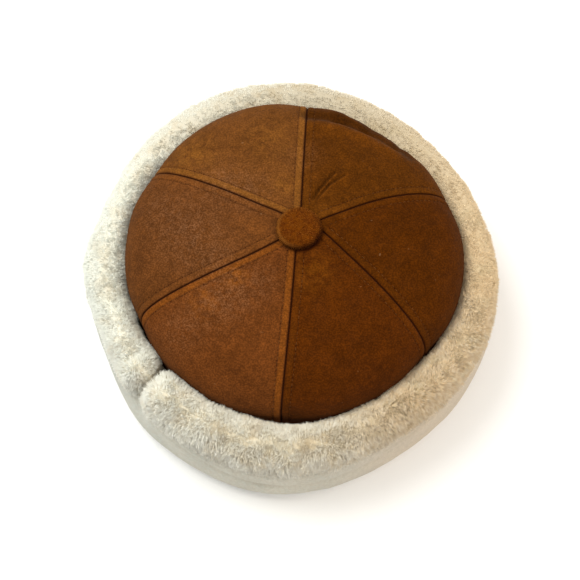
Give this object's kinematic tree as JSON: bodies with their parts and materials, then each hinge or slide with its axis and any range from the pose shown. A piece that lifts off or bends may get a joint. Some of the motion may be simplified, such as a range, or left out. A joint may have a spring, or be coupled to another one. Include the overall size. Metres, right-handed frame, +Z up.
{
  "type": "leather cap with shearling cuff",
  "caption": "Close-fitting leather cap with a panelled, button-topped crown and a thick turned-up shearling cuff; worn on the head and stands by itself on the foot of its cuff.",
  "frame": {"origin": "on the ground, under the middle of the whole hat, which stands on the foot of its cuff", "axes": "+Z up through the crown, -Y towards the side nearest the camera in the picture, +X to the picture's right"},
  "size_m": [0.2466, 0.2492, 0.1085],
  "materials": {
    "crown_leather": "brown nubuck with a fine nap, rubbed warmer in places",
    "button_leather": "tawny suede with a short nap",
    "shearling": "cream sheared wool, fluffy on the roll and pressed smooth below it"
  },
  "bodies": {
    "root": {"crown_panel_1": "crown_leather", "crown_panel_2": "crown_leather", "crown_panel_3": "crown_leather", "crown_panel_4": "crown_leather", "crown_panel_5": "crown_leather", "crown_panel_6": "crown_leather", "crown_button": "button_leather", "shearling_cuff": "shearling"}
  },
  "joints": []
}
